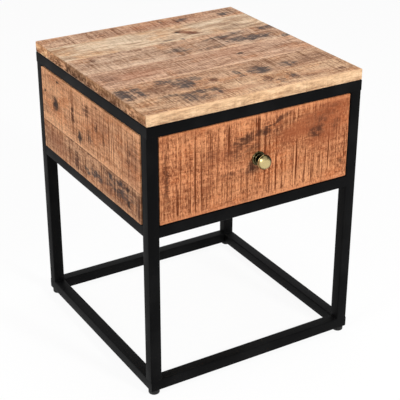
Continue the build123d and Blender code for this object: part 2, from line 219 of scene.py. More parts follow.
KERFS = {
    "top_board_4": [
        (-172, 45, 1.6, 38, 0, 0.9), (-150, 27, 2.4, 18, 0, 0.9), (-161, 60, 1.2, 26, 0, 0.6),
    ],
    "top_board_3": [
        (117, -22, 1.3, 34, 0, 0.7), (178, -22, 1.3, 34, 0, 0.7), (-60, -20, 1.2, 30, 0, 0.5),
    ],
    "left_board_lower": [(-152, 338, 1.6, 24, 0, 0.8), (-163, 338, 2.0, 24, 0, 0.8)],
    "left_board_upper": [
        (-43, 408, 1.6, 20, 0, 0.7), (-128, 410, 2.0, 40, 0, 0.7), (-140, 415, 1.6, 40, 0, 0.6),
    ],
    "drawer_front": [
        (-168, 390, 2.4, 60, 0, 0.6), (-142, 385, 1.2, 66, 0, 0.6), (-129, 380, 1.0, 62, 0, 0.5),
        (-116, 388, 1.5, 70, 0, 1.0), (-105, 376, 1.2, 60, 0, 0.8), (-92, 385, 1.0, 60, 0, 0.5),
        (-75, 400, 1.2, 56, 0, 0.7), (-55, 428, 2.0, 34, 0, 1.0), (-57, 350, 1.3, 40, 0, 0.6),
        (-20, 350, 1.3, 36, 0, 0.6), (13, 385, 1.6, 58, 0, 0.85), (75, 366, 1.8, 44, 0, 0.9),
        (139, 372, 1.6, 46, 0, 0.8),
    ],
}
SAWN = {
    "top_board_1": [(-120, -150, 60, 25, 0, 0.6)],
    "top_board_2": [(-180, -92, 30, 34, 0, 1.0), (-80, -92, 40, 30, 0, 0.7)],
    "top_board_3": [(-40, -22, 130, 36, 0, 0.9), (150, -22, 40, 36, 0, 0.8)],
    "top_board_4": [(-150, 50, 50, 40, 0, 0.9), (-10, 45, 60, 30, 0, 0.9)],
    "top_board_6": [(-40, 188, 90, 22, 0, 0.8)],
    "left_board_upper": [(-70, 415, 110, 60, 0, 1.0), (60, 415, 130, 60, 0, 0.8)],
    "left_board_lower": [
        (120, 338, 70, 30, 0, 1.0), (-150, 338, 30, 30, 0, 1.0), (0, 338, 90, 30, 0, 0.6),
    ],
    "drawer_front": [
        (-110, 345, 70, 40, 0, 1.0), (60, 350, 110, 44, 0, 1.0), (-90, 420, 70, 44, 0, 0.8),
    ],
}
PALE = {
    "top_board_1": [(2, -141, 42, 12, 0, 0.8), (142, -148, 46, 18, 0, 0.7), (0, -164, 34, 9, 0, 0.6)],
    "top_board_2": [(-20, -92, 24, 12, 0, 0.4), (0, -62.5, 190, 1.6, 0, 0.9)],
    "top_board_3": [(20, -59.5, 180, 2, 0, 0.9), (-110, 12.5, 70, 1.6, 0, 0.8)],
    "top_board_4": [(-110, 20, 70, 5, 0, 0.6), (150, 62, 26, 4, 0, 0.5), (-40, 16, 150, 1.8, 0, 0.9)],
    "top_board_5": [(-95, 138, 90, 22, 0, 0.6), (100, 146, 60, 10, 0, 0.5)],
    "top_board_6": [(-130, 172, 34, 7, 0, 0.5), (182, 196, 16, 12, 0, 0.4)],
    "left_board_upper": [
        (10, 367, 190, 2.4, 0, 0.9), (-80, 372, 90, 6, 0, 0.6), (140, 440, 60, 12, 0, 0.4),
        (140, 380, 50, 12, 0, 0.4),
    ],
    "left_board_lower": [(20, 345, 24, 12, 0, 0.45)],
    "right_board_upper": [(10, 367, 190, 2.4, 0, 0.9), (-60, 385, 80, 9, 0, 0.5)],
    "back_board_upper": [(0, 367, 190, 2.4, 0, 0.9), (70, 450, 80, 9, 0, 0.5)],
    "drawer_front": [
        (80, 338, 80, 22, 4, 0.75), (-40, 345, 60, 20, 0, 0.5), (78, 382, 26, 14, 0, 0.5),
        (-20, 450, 30, 8, 10, 0.4), (60, 318, 130, 5, 0, 0.7), (-130, 440, 40, 16, 0, 0.3),
    ],
}


def paint(red, green, blue):
    """Linear colour from the 0 to 255 values of a colour chart."""
    shares = [value / 255 for value in (red, green, blue)]
    return tuple(s / 12.92 if s <= 0.04045 else ((s + 0.055) / 1.055) ** 2.4 for s in shares)


def colour(name, description, default):
    """Colour setting."""
    return bpy.props.FloatVectorProperty(
        name=name, description=description, default=default, size=3, min=0, max=1, subtype="COLOR"
    )


def length(name, description, default):
    """Length setting in metres."""
    return bpy.props.FloatProperty(
        name=name, description=description, default=default, min=0, precision=5, unit="LENGTH"
    )


def share(name, description, default):
    """Setting between none and all."""
    return bpy.props.FloatProperty(
        name=name, description=description, default=default, min=0, max=1, subtype="FACTOR"
    )


def rotation(name, description, default):
    """Setting of an angle in radians."""
    return bpy.props.FloatProperty(name=name, description=description, default=default, unit="ROTATION")


def power(name, description, default):
    """Power setting of a lamp in watts."""
    return bpy.props.FloatProperty(
        name=name, description=description, default=default, min=0, unit="POWER"
    )


class FrameLook(bpy.types.PropertyGroup):
    """Satin black coat of the tube frame, its welds and its fixings."""

    coat: colour("Coat", "Colour of the powder coat", (0.002, 0.002, 0.0022))
    coat_roughness: share("Coat roughness", "How matt the powder coat is", 0.5)
    coat_gloss: share("Coat gloss", "How strongly the coat mirrors the room", 0.05)
    zinc: colour("Zinc", "Colour of the plated slides and screws", paint(198, 200, 203))
    nylon: colour("Nylon", "Colour of the feet", paint(20, 20, 20))
    corner: length("Tube corner", "Rounding of the corners of the tube", 2.2 * MM)
    weld_radius: length("Weld radius", "Half width of the weld beads", 1.6 * MM)
    foot_round: length("Foot rounding", "Rounding of the lower edge of the feet", 2.2 * MM)
    screw_head: length("Screw head", "Diameter of the wood screws' heads", 8.0 * MM)
    screw_rise: length("Screw rise", "Height of the wood screws' heads", 2.2 * MM)


class WoodLook(bpy.types.PropertyGroup):
    """Tones and surface of the sawn boards."""

    top_1: colour("Top board 1", "Main tone of the front board of the top", paint(184, 144, 111))
    top_2: colour("Top board 2", "Main tone of the second board", paint(176, 136, 106))
    top_3: colour("Top board 3", "Main tone of the third board", paint(185, 145, 117))
    top_4: colour("Top board 4", "Main tone of the fourth board", paint(184, 149, 122))
    top_5: colour("Top board 5", "Main tone of the fifth board", paint(197, 167, 138))
    top_6: colour("Top board 6", "Main tone of the rear board of the top", paint(184, 144, 115))
    upper_board: colour("Upper boards", "Main tone of the upper side boards", paint(212, 152, 110))
    lower_board: colour("Lower boards", "Main tone of the lower side boards", paint(192, 139, 102))
    front: colour("Drawer front", "Main tone of the drawer front", paint(177, 111, 74))
    edge: colour("Slab edge", "Tone of the planed edge of the top", paint(202, 164, 127))
    end: colour("End grain", "Tone of the sawn ends of the top boards", paint(155, 110, 77))
    burnt: colour("Charcoal", "Tone of the grey-black stains", paint(62, 54, 52))
    # The brown tone also paints the knob's shadow on the drawer front
    brown: colour("Brown", "Tone of the brown stains", paint(84, 48, 32))
    russet: colour("Russet", "Tone of the smooth reddish bands", paint(142, 76, 45))
    knot: colour("Knots", "Tone of the knots", paint(40, 25, 18))
    rub: share("Rubbed edges", "How much paler the eased edges are", 0.6)
    sheen: share("Sheen", "How strongly the boards mirror the room", 0.12)
    box: colour("Drawer box", "Tone of the drawer box boards", paint(206, 168, 122))
    ply: colour("Plywood", "Tone of the drawer bottom", paint(214, 182, 138))
    saw_depth: length("Saw mark depth", "Depth of the deepest saw marks", 0.28 * MM)
    saw_pitch: length("Saw mark pitch", "Distance of the saw marks along the grain", 1.9 * MM)
    ease: length("Eased edges", "Rounding of the boards' outer edges", 1.3 * MM)
    seam: length("Seam rounding", "Rounding of the edges between glued boards", 0.45 * MM)


class KnobLook(bpy.types.PropertyGroup):
    """Aged brass of the knob."""

    brass: colour("Brass", "Rubbed brass of the head", paint(208, 188, 134))
    patina: colour("Patina", "Darkened brass of the rose and the rim", paint(58, 54, 34))
    polish: share("Polish", "Roughness of the rubbed brass", 0.2)
    neck: length("Neck", "Length of the neck", 11.5 * MM)
    rim: length("Rim", "Thickness of the rim of the head", 1.5 * MM)
    steps: bpy.props.IntProperty(
        name="Turning steps", description="Faces round the knob", default=72, min=12, subtype="UNSIGNED"
    )


class StudioLook(bpy.types.PropertyGroup):
    """Camera, floor and lamps."""

    eye: bpy.props.FloatVectorProperty(
        name="Eye",
        description="Place of the camera",
        default=(-0.93217, -1.55769, 1.13523),
        subtype="XYZ",
        unit="LENGTH",
    )
    heading: rotation("Heading", "Turn of the camera from +Y to +X", 0.5415)
    pitch: rotation("Pitch", "Tilt of the camera", -0.4611)
    roll: rotation("Roll", "Roll of the camera", 0.002)
    lens: bpy.props.FloatProperty(
        name="Lens", description="Focal length in millimetres", default=103.05, unit="CAMERA"
    )
    floor: colour("Floor", "Colour of the floor", (0.9, 0.9, 0.9))
    ambient: share("Ambient", "Light from all round", 0.18)
    key: power("Key lamp", "Power of the lamp in front", 74.0)
    fill: power("Fill lamp", "Power of the lamp on the left", 36.0)
    overhead: power("Overhead lamp", "Power of the lamp above", 30.0)


def plug(tree, socket, value):
    """Gives a socket a link from another one, a colour or a plain value."""
    if isinstance(value, bpy.types.NodeSocket):
        tree.links.new(value, socket)
    elif socket.type == "RGBA":
        socket.default_value = (*value, 1.0)
    else:
        socket.default_value = value


def add_node(tree, kind, inputs, **settings):
    """Adds a shader node with its settings and its inputs, by name or number."""
    node = tree.nodes.new(f"ShaderNode{kind}")
    for name, setting in settings.items():
        setattr(node, name, setting)
    for socket, value in inputs.items():
        plug(tree, node.inputs[socket], value)
    return node


class Finish:
    """A material whose nodes are set up by plain calls; each call returns a socket."""

    def __init__(self, name):
        self.material = bpy.data.materials.new(name)
        self.material.use_nodes = True
        self.tree = self.material.node_tree
        self.tree.nodes.clear()
        self.shader = add_node(self.tree, "BsdfPrincipled", {})
        add_node(self.tree, "OutputMaterial", {"Surface": self.shader.outputs["BSDF"]})

    def surface(self, **values):
        """Sockets of the shader, by their names with _ for a space."""
        for name, value in values.items():
            plug(self.tree, self.shader.inputs[name.replace("_", " ")], value)

    def add(self, kind, inputs, output=0, **settings):
        """Output of a new node."""
        return add_node(self.tree, kind, inputs, **settings).outputs[output]

    def place(self, axes=(0, 1, 2)):
        """Point on the piece, with the given axes in the order grain, width, thickness."""
        split = add_node(self.tree, "SeparateXYZ", {0: self.add("TexCoord", {}, "Object")})
        return self.add("CombineXYZ", {slot: split.outputs[axis] for slot, axis in enumerate(axes)})

    def vector(self, operation, first, second):
        inputs = {0: first, "Scale" if operation == "SCALE" else 1: second}
        output = "Value" if operation in ("LENGTH", "DOT_PRODUCT") else "Vector"
        return self.add("VectorMath", inputs, output, operation=operation)

    def turn(self, point, angle):
        return self.add("VectorRotate", {"Vector": point, "Angle": angle}, rotation_type="Z_AXIS")

    def noise(self, point, stretch, detail=2.0, roughness=0.5, bend=0.0, output=0):
        """Noise with its own fineness along each axis, in cycles per metre."""
        inputs = {
            "Vector": self.vector("MULTIPLY", point, stretch),
            "Scale": 1.0,
            "Detail": detail,
            "Roughness": roughness,
            "Distortion": bend,
        }
        return self.add("TexNoise", inputs, output)

    def step(self, value, low, high, bottom=0.0, top=1.0):
        """Smooth step of a value between two limits."""
        inputs = {"Value": value, "From Min": low, "From Max": high, "To Min": bottom, "To Max": top}
        return self.add("MapRange", inputs, interpolation_type="SMOOTHSTEP")

    def math(self, operation, first, second):
        return self.add("Math", {0: first, 1: second}, operation=operation)

    def mix(self, amount, first, second):
        return self.add("Mix", {0: amount, 6: first, 7: second}, 2, data_type="RGBA")

    def shift(self, shade, goal, value, low, high, amount):
        """Shade moved towards a goal where a value passes from low to high."""
        return self.mix(self.step(value, low, high, 0.0, amount), shade, goal)

    def attribute(self, name):
        return self.add("Attribute", {}, "Fac", attribute_name=name)

    def bump(self, height, strength, distance):
        inputs = {"Strength": strength, "Distance": distance, "Height": height}
        self.surface(Normal=self.add("Bump", inputs))


def stain_cover(finish, point, stains):
    """How deep a board's stains are at each point, from none to all."""
    cover = 0.0
    for along, across, half_length, half_width, turn, depth in stains:
        inputs = {
            "Vector": point,
            "Location": (along * MM, across * MM, 0),
            "Rotation": (0, 0, math.radians(turn)),
            "Scale": (half_length * MM, half_width * MM, RIGHT_THROUGH),
        }
        spot = finish.add("Mapping", inputs, vector_type="TEXTURE")
        reach = finish.vector("LENGTH", spot, (0, 0, 0))
        cover = finish.math("MAXIMUM", finish.step(reach, STAIN_CORE, STAIN_RIM, depth, 0.0), cover)
    return cover


def lighter(tone, amount):
    """Tone moved towards white, or towards black when the amount is negative."""
    goal = 1.0 if amount > 0 else 0.0
    return tuple(value + (goal - value) * abs(amount) for value in tone)


def tinted(tone, factors):
    """Tone with each of its three parts multiplied, none above white."""
    return tuple(min(1.0, value * factor) for value, factor in zip(tone, factors))


def sawn_wood(
    name, board, axes, tone, look, seed, saw=1.0, tilt=0.0, grain=1.0, figure=1.0, swirl=1.0, short=1.0,
    teeth=350, fine=1.6, gold=(1.45, 1.68, 1.85),
):
    """Rough-sawn board: flowing grain, fibres, cross-grain saw marks, stains, knots and rubbed edges.

    saw, grain and figure say how strong the saw marks, the fibres and the broad tones are; tilt is the
    turn of the saw marks, swirl the sway of the grain and short the shortness of its bands; teeth is the
    number of saw marks in a metre, fine the fineness of the flecks and gold the tint of the pale wood."""
    finish = Finish(name)
    point = finish.place(axes)
    own = finish.vector("ADD", point, (seed * 1.37, seed * 0.71, seed * 0.43))
    sway = finish.vector("SCALE", (0.0, 0.03 * swirl, 0.012), finish.noise(own, (5, 16, 16), detail=3))
    flow = finish.vector("ADD", own, sway)
    broad = finish.noise(flow, (7, 36, 36), detail=3, roughness=0.6)
    bands = finish.noise(flow, (12 * short, 110, 110), detail=5, roughness=0.7, bend=0.5)
    fibre = finish.noise(flow, (26 * short, 290, 290), detail=6, roughness=0.75)
    pores = finish.noise(flow, (150, 1500, 1500), detail=2, roughness=0.6)
    warmth = finish.noise(own, (14, 30, 30), detail=3, roughness=0.6)

    dark = tinted(tone, (0.24, 0.15, 0.105))
    pale = tinted(tone, gold)
    low = tinted(tone, [1 - figure * part for part in (0.24, 0.32, 0.38)])
    high = tinted(tone, [1 + figure * part for part in (0.18, 0.22, 0.24)])
    shade = finish.mix(finish.step(broad, 0.4, 0.6), low, high)
    shade = finish.shift(shade, tinted(tone, (1.05, 0.76, 0.5)), warmth, 0.49, 0.62, 0.7 * figure)
    shade = finish.shift(shade, dark, bands, 0.5, 0.62, 0.5 * grain)
    shade = finish.shift(shade, pale, bands, 0.5, 0.38, 0.5 * grain)
    shade = finish.shift(shade, dark, fibre, 0.5, 0.6, 0.6 * grain)
    shade = finish.shift(shade, pale, fibre, 0.48, 0.38, 0.6 * grain)

    # Paler wood, with edges that are ragged along the fibres
    jitter = finish.noise(own, (60, 110, 110), detail=3, output=1)
    jitter = finish.vector("SUBTRACT", jitter, (0.5, 0.5, 0.5))
    ragged = finish.vector("ADD", point, finish.vector("MULTIPLY", jitter, (0.02, 0.012, 0.0)))
    if board in PALE:
        shade = finish.shift(shade, pale, stain_cover(finish, ragged, PALE[board]), 0.0, 1.0, 0.7)

    # Saw marks run straight across the grain: long lines of uneven strength, with short scratches between
    across = finish.turn(own, tilt)
    fleck = finish.noise(across, (250 * fine, 80 * fine, 80 * fine), detail=6, roughness=0.75)
    shade = finish.shift(shade, dark, fleck, 0.52, 0.6, 0.65 * saw)
    shade = finish.shift(shade, pale, fleck, 0.48, 0.4, 0.65 * saw)
    strokes = finish.noise(across, (teeth, 4, 6), detail=5, roughness=0.72)
    scratch = finish.noise(across, (380, 30, 30), detail=4, roughness=0.65)
    patch = finish.step(finish.noise(own, (26, 24, 24), detail=3, roughness=0.6), 0.4, 0.62, 0.15, 1.0)
    if board in SAWN:
        patch = finish.math("MAXIMUM", patch, stain_cover(finish, point, SAWN[board]))
    if board in SMOOTH:
        planed = finish.math("SUBTRACT", 1.0, stain_cover(finish, point, SMOOTH[board]))
        patch = finish.math("MULTIPLY", patch, planed)
    lines = finish.math("MULTIPLY", finish.step(strokes, 0.52, 0.6), patch)
    lines = finish.math("MAXIMUM", lines, finish.step(scratch, 0.56, 0.68, 0.0, 0.6))
    lines = finish.math("MAXIMUM", lines, finish.math("MULTIPLY", finish.attribute("kerf"), 0.7))
    if board in KERFS:
        lines = finish.math("MAXIMUM", lines, stain_cover(finish, point, KERFS[board]))
    ridges = finish.math("MULTIPLY", finish.step(strokes, 0.48, 0.4), patch)
    shade = finish.shift(shade, pale, ridges, 0.0, 1.0, 0.6 * saw)
    shade = finish.shift(shade, dark, lines, 0.0, 1.0, 0.85 * saw)

    # Redder wood that the saw left smooth, stains and the knob's painted shadow that its marks break up, and
    # knots
    mottle = finish.step(finish.noise(flow, (70, 200, 200), detail=4, roughness=0.75), 0.38, 0.56, 0.35, 1.2)
    broken = finish.math("MULTIPLY", mottle, finish.step(strokes, 0.38, 0.56, 0.6, 1.15))
    if board in RUSSET:
        cover = stain_cover(finish, ragged, RUSSET[board])
        shade = finish.shift(shade, tuple(look.russet), cover, 0.0, 1.0, 0.7)
    # Among the brown marks is a painted shadow of the knob on the drawer front
    for stains, stain in ((BROWN, look.brown), (BURNT, look.burnt)):
        if board in stains:
            cover = finish.math("MULTIPLY", stain_cover(finish, ragged, stains[board]), broken)
            shade = finish.shift(shade, tuple(stain), cover, 0.05, 0.95, 0.95)
    if board in KNOTS:
        cover = stain_cover(finish, ragged, KNOTS[board])
        shade = finish.shift(shade, tuple(look.knot), cover, 0.05, 0.95, 0.95)

    # Open pores, and edges rubbed pale
    shade = finish.shift(shade, dark, pores, 0.57, 0.66, 0.6)
    worn = finish.math("MULTIPLY", finish.attribute("ease"), finish.step(bands, 0.3, 0.6, 0.9, 0.5))
    shade = finish.shift(shade, tinted(tone, (1.35, 1.42, 1.45)), worn, 0.0, 1.0, look.rub)
    rough = finish.math("ADD", finish.math("MULTIPLY", fibre, 0.5), finish.math("MULTIPLY", fleck, 0.5 * saw))
    height = finish.math("SUBTRACT", rough, finish.math("MULTIPLY", lines, 0.6 * saw))
    finish.surface(
        Base_Color=shade,
        Roughness=finish.step(lines, 0.0, 1.0, 0.58, 0.8),
        Specular_IOR_Level=look.sheen,
    )
    finish.bump(height, 0.4, 0.4 * MM)
    return finish.material


def end_grain(name, axes, tone, look, seed):
    """Sawn end of a board: growth rings in arcs, open pores and thirsty dark patches."""
    finish = Finish(name)
    point = finish.vector("ADD", finish.place(axes), (seed * 0.91, seed * 0.37, seed * 0.11))
    rings = finish.noise(point, (20, 60, 210), detail=3, roughness=0.6, bend=0.8)
    patch = finish.noise(point, (20, 45, 60), detail=5, roughness=0.75)
    pores = finish.noise(point, (120, 120, 170), detail=3, roughness=0.75)
    dark = tinted(tone, (0.3, 0.22, 0.17))
    pale = tinted(tone, (1.9, 2.2, 2.5))
    shade = finish.shift(tone, dark, patch, 0.5, 0.57, 0.9)
    shade = finish.shift(shade, pale, patch, 0.49, 0.41, 0.8)
    shade = finish.shift(shade, dark, rings, 0.52, 0.6, 0.6)
    shade = finish.shift(shade, dark, pores, 0.51, 0.58, 0.85)
    shade = finish.shift(shade, pale, pores, 0.47, 0.4, 0.8)
    shade = finish.shift(shade, tinted(tone, (1.5, 1.6, 1.65)), finish.attribute("ease"), 0.0, 1.0, look.rub)
    finish.surface(
        Base_Color=shade, Roughness=finish.step(pores, 0.3, 0.7, 0.6, 0.8), Specular_IOR_Level=look.sheen
    )
    finish.bump(finish.math("ADD", rings, pores), 0.4, 0.3 * MM)
    return finish.material


def planed_wood(name, axes, tone, seed, figure=1.0):
    """Planed board with plain straight grain."""
    finish = Finish(name)
    point = finish.vector("ADD", finish.place(axes), (seed * 1.1, seed * 0.53, seed * 0.29))
    broad = finish.noise(point, (6, 60, 60), detail=3, roughness=0.6, bend=0.6)
    fibre = finish.noise(point, (40, 700, 700), detail=3, roughness=0.7)
    dark = tinted(tone, (0.66, 0.56, 0.48))
    shade = finish.mix(finish.step(broad, 0.35, 0.65), tone, lighter(tone, 0.22))
    shade = finish.shift(shade, dark, broad, 0.5, 0.62, 0.35 * figure)
    shade = finish.shift(shade, dark, fibre, 0.54, 0.7, 0.4)
    rough = finish.step(fibre, 0.3, 0.7, 0.5, 0.66)
    finish.surface(Base_Color=shade, Roughness=rough, Specular_IOR_Level=0.3)
    finish.bump(fibre, 0.25, 0.2 * MM)
    return finish.material


def powder_coat(look):
    """Satin black powder coat with fine orange peel and a few duller patches."""
    finish = Finish("black_powder_coat")
    point = finish.place()
    peel = finish.noise(point, (900, 900, 900), detail=2)
    haze = finish.noise(point, (18, 18, 18), detail=3)
    dust = finish.noise(point, (240, 240, 240), detail=3, roughness=0.7)
    coat = tuple(look.coat)
    shade = finish.shift(coat, lighter(coat, 0.006), haze, 0.4, 0.7, 0.5)
    shade = finish.shift(shade, lighter(coat, 0.012), dust, 0.62, 0.75, 0.4)
    rough = look.coat_roughness
    finish.surface(
        Base_Color=shade,
        Roughness=finish.step(haze, 0.3, 0.7, rough - 0.05, rough + 0.08),
        Specular_IOR_Level=look.coat_gloss,
    )
    finish.bump(peel, 0.12, 0.15 * MM)
    return finish.material


def zinc_plate(look):
    """Zinc plated sheet with a faint drawn grain along Y and cloudy patches, made once for all pieces."""
    name = "zinc_plate"
    if name in bpy.data.materials:
        return bpy.data.materials[name]
    finish = Finish(name)
    point = finish.place()
    drawn = finish.noise(point, (900, 18, 900), detail=2)
    cloud = finish.noise(point, (40, 40, 40), detail=3)
    tone = tuple(look.zinc)
    shade = finish.mix(finish.step(cloud, 0.35, 0.65), lighter(tone, -0.25), tone)
    finish.surface(Base_Color=shade, Metallic=1.0, Roughness=finish.step(drawn, 0.3, 0.7, 0.26, 0.42))
    finish.bump(drawn, 0.15, 0.1 * MM)
    return finish.material


def moulded_nylon(look):
    """Matt black nylon with a fine moulded grain."""
    finish = Finish("black_nylon")
    grain = finish.noise(finish.place(), (1400, 1400, 1400), detail=2)
    tone = tuple(look.nylon)
    finish.surface(
        Base_Color=finish.mix(finish.step(grain, 0.4, 0.7), tone, lighter(tone, 0.01)),
        Roughness=finish.step(grain, 0.3, 0.7, 0.5, 0.64),
        Specular_IOR_Level=0.3,
    )
    finish.bump(grain, 0.2, 0.1 * MM)
    return finish.material


def aged_brass(name, look, rubbed, centre, reach):
    """Turned brass: rubbed bright on the high places, dark patina in the low ones, and a painted highlight
    that makes its left side brighter than its right.
    """
    finish = Finish(name)
    point = finish.place()
    # Painted highlight and shade: the brass is made brighter towards the left and darker towards the right,
    # as if lit from the left
    painted_highlight = finish.vector("SUBTRACT", point, tuple(centre))
    painted_highlight = finish.vector("DOT_PRODUCT", painted_highlight, (-0.75 / reach, 0.0, -0.08 / reach))
    rings = finish.noise(point, (120, 1600, 120), detail=2)
    cloud = finish.noise(point, (160, 160, 160), detail=4, roughness=0.65)
    wear_and_highlight = finish.math("ADD", finish.attribute("rub"), finish.step(cloud, 0.3, 0.7, -0.1, 0.1))
    wear_and_highlight = finish.math("ADD", wear_and_highlight, finish.math("MULTIPLY", painted_highlight, 0.45))
    wear_and_highlight = finish.step(wear_and_highlight, 0.3, 0.75, 0.0, rubbed)
    shade = finish.mix(wear_and_highlight, tuple(look.patina), tuple(look.brass))
    finish.surface(
        Base_Color=shade,
        Metallic=1.0,
        Roughness=finish.step(cloud, 0.3, 0.7, look.polish, look.polish + 0.14),
    )
    finish.bump(rings, 0.06, 0.08 * MM)
    return finish.material


def new_piece(name, made, angle, materials, body, nodes=()):
    """Puts what was made into the scene as a piece, on its body and in place of its nodes.

    Its faces are turned outward and shaded smooth up to an angle in degrees."""
    bmesh.ops.recalc_face_normals(made, faces=made.faces)
    mesh = bpy.data.meshes.new(name)
    made.to_mesh(mesh)
    made.free()
    mesh.shade_smooth()
    mesh.set_sharp_from_angle(angle=math.radians(angle))
    for material in materials:
        mesh.materials.append(material)
    piece = bpy.data.objects.new(name, mesh)
    bpy.context.scene.collection.objects.link(piece)
    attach(piece, body)
    if nodes:
        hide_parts(*nodes)


def coat_nodes(names, material):
    """Gives CAD nodes their finish."""
    for name in names:
        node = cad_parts[name]
        node.data.materials.clear()
        node.data.materials.append(material)


def square_to(axis):
    """Two directions square to an axis and to each other."""
    lean = Vector((0, 0, 1)).rotation_difference(axis).to_matrix()
    return lean.col[0].copy(), lean.col[1].copy()


def circle(made, centre, side, other, radius, steps):
    """Adds a ring of points about a centre, or a single point when there is no radius."""
    if radius < SAME_POINT:
        return [made.verts.new(centre)]
    ring = []
    for step in range(steps):
        angle = 2 * math.pi * step / steps
        ring.append(made.verts.new(centre + radius * (math.cos(angle) * side + math.sin(angle) * other)))
    return ring


def skin(made, rings):
    """Joins rings of points by walls and closes the two ends; returns the walls and the ends."""
    walls = []
    for ring, following in zip(rings, rings[1:]):
        steps = max(len(ring), len(following))
        for step in range(steps):
            after = (step + 1) % steps
            # Where a ring is a single point, two of the four corners fall together
            places = ((ring, step), (following, step), (following, after), (ring, after))
            corners = dict.fromkeys(points[place % len(points)] for points, place in places)
            walls.append(made.faces.new(list(corners)))
    ends = [made.faces.new(ring) for ring in (rings[0], rings[-1][::-1]) if len(ring) > 1]
    return walls, ends


def arc(centre, radius, start, end, count):
    """Points of a circle between two angles in degrees, as pairs such as (radius, distance)."""
    angles = np.radians(np.linspace(start, end, count))
    return [(centre[0] + radius * math.cos(a), centre[1] + radius * math.sin(a)) for a in angles]


def board_section(width, thickness, rows, low, high):
    """Outline across a board as rows of: centre, radius, outward normal, way to the edge, part and easing.

    low and high are the roundings of the two edges of the face.
    The way to the edge is a sign for the width and one for the thickness."""
    points = []
    ways = {0: (1, 1), 90: (-1, 1), 180: (-1, -1), 270: (1, -1)}

    def corner(centre_v, centre_w, radius, start, part, eased):
        for turn in (0.0, 22.5, 45.0, 67.5, 90.0):
            angle = math.radians(start + turn)
            normal = (math.cos(angle), math.sin(angle))
            points.append(((centre_v, centre_w), radius, normal, ways[start], part, eased))

    corner(width - high, thickness - high, high, 0, "edge", 1.0)
    for v in np.linspace(width - high, low, rows + 1)[1:-1]:
        eased = max(0.0, 1 - min(v, width - v) / NEAR_EDGE) * 0.5
        points.append(((v, thickness), 0.0, (0.0, 1.0), (0, 1), "face", eased))
    corner(low, thickness - low, low, 90, "edge", 1.0)
    corner(REAR_EASE, REAR_EASE, REAR_EASE, 180, "back", 0.0)
    corner(width - REAR_EASE, REAR_EASE, REAR_EASE, 270, "back", 0.0)
    return points


def board_columns(span, pitch, ease):
    """Places along the grain, closer together at the rounded ends."""
    ends = [0.0, 0.12 * ease, 0.4 * ease, ease]
    count = max(2, int(round((span - 2 * ease) / pitch)))
    middle = list(np.linspace(ease, span - ease, count + 1)[1:-1])
    return np.array(ends + middle + [span - place for place in reversed(ends)])


def saw_marks(count, rows, seed):
    """Depth of the saw mark at each column and row, from none to one."""
    dice = np.random.default_rng(seed)
    # About a third of the columns are marked, most of them lightly
    depth = np.where(dice.random(count) < 0.34, dice.random(count) ** 1.6, 0.0)
    # The marks swell and fade from one dozen columns to the next
    stations = np.arange(0, count + 24, 12)
    swell = np.interp(np.arange(count), stations, dice.random(len(stations)))
    depth = depth * (0.35 + 0.9 * swell)
    # Each mark comes and goes across the board
    start = dice.random(count) * 6.283
    reach = 0.6 + 0.9 * dice.random(count)
    across = np.linspace(0, 3.2, rows)
    fade = 0.55 + 0.6 * np.sin(start[:, None] + across[None, :] * reach[:, None] * 2.2)
    return np.clip(depth[:, None] * np.clip(fade, 0, 1.15), 0, 1)


def sawn_board(name, node, lie, look, eases, materials, body, rows, seed):
    """Board with rounded edges and real saw marks, in the box of its CAD node.

    eases holds the roundings at the low and high edge and at the two ends; None is a glued edge.
    materials holds the face's, the edge's if that differs, and the ends'."""
    (grain, across, through), out = lie
    low_corner, high_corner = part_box(node)
    span, width, thickness = (high_corner[axis] - low_corner[axis] for axis in lie[0])
    glued = {-1: eases[0] is None, 0: False, 1: eases[1] is None}
    low, high = (look.seam if ease is None else ease for ease in eases[:2])
    ease = eases[2]
    section = board_section(width, thickness, rows, low, high)
    columns = board_columns(span, look.saw_pitch, ease)
    marks = saw_marks(len(columns), len(section), seed)
    edge_gap = np.minimum(columns, span - columns)
    inset = np.where(edge_gap < ease, ease - np.sqrt(np.maximum(ease**2 - (ease - edge_gap) ** 2, 0)), 0.0)
    fade = np.clip((edge_gap - ease) / MARKS_START, 0, 1)
    end_rub = END_RUB * np.clip(1 - (edge_gap - ease) / RUBBED_END, 0, 1)
    made = bmesh.new()
    kerf_layer = made.verts.layers.float.new("kerf")
    ease_layer = made.verts.layers.float.new("ease")
    rings = []
    for place, cut, kept, rubbed, row in zip(columns, inset, fade, end_rub, marks):
        ring = []
        for (centre, radius, (side, face), (way_v, way_w), part, eased), mark in zip(section, row):
            held = glued[way_v]
            left, moved = max(radius - cut, 0.0), max(cut - radius, 0.0)
            v = centre[0] + (side * radius if held else side * left - way_v * moved)
            depth = mark * kept if part != "back" and face > 0.5 else 0.0
            rise = centre[1] + face * left - way_w * moved - depth * look.saw_depth
            spot = [0.0, 0.0, 0.0]
            spot[grain] = low_corner[grain] + place
            spot[across] = low_corner[across] + v
            spot[through] = low_corner[through] + rise if out > 0 else high_corner[through] - rise
            vertex = made.verts.new(spot)
            vertex[kerf_layer] = depth
            if part != "back":
                vertex[ease_layer] = max(eased * (GLUED_RUB if held else 1.0), rubbed * (face > 0.3))
            ring.append(vertex)
        rings.append(ring)
    walls, ends = skin(made, rings)
    # Walls that look sideways are the board's edge
    for number, wall in enumerate(walls):
        sideways = sum(section[place % len(section)][2][0] for place in (number, number + 1))
        wall.material_index = 1 if abs(sideways) > 1.2 and len(materials) > 2 else 0
    for end in ends:
        end.material_index = len(materials) - 1
    bmesh.ops.remove_doubles(made, verts=made.verts, dist=SAME_POINT)
    new_piece(name, made, SHARP_WOOD, materials, body, [node])


def turned(profile, steps, centre, axis, rub=None):
    """Lathes a profile of (radius, distance) about an axis; rub says how worn each of its points is."""
    made = bmesh.new()
    layer = made.verts.layers.float.new("rub")
    side, other = square_to(axis)
    rings = []
    for (radius, distance), worn in zip(profile, rub or [0.0] * len(profile)):
        ring = circle(made, centre + distance * axis, side, other, radius, steps)
        for vertex in ring:
            vertex[layer] = worn
        rings.append(ring)
    skin(made, rings)
    return made


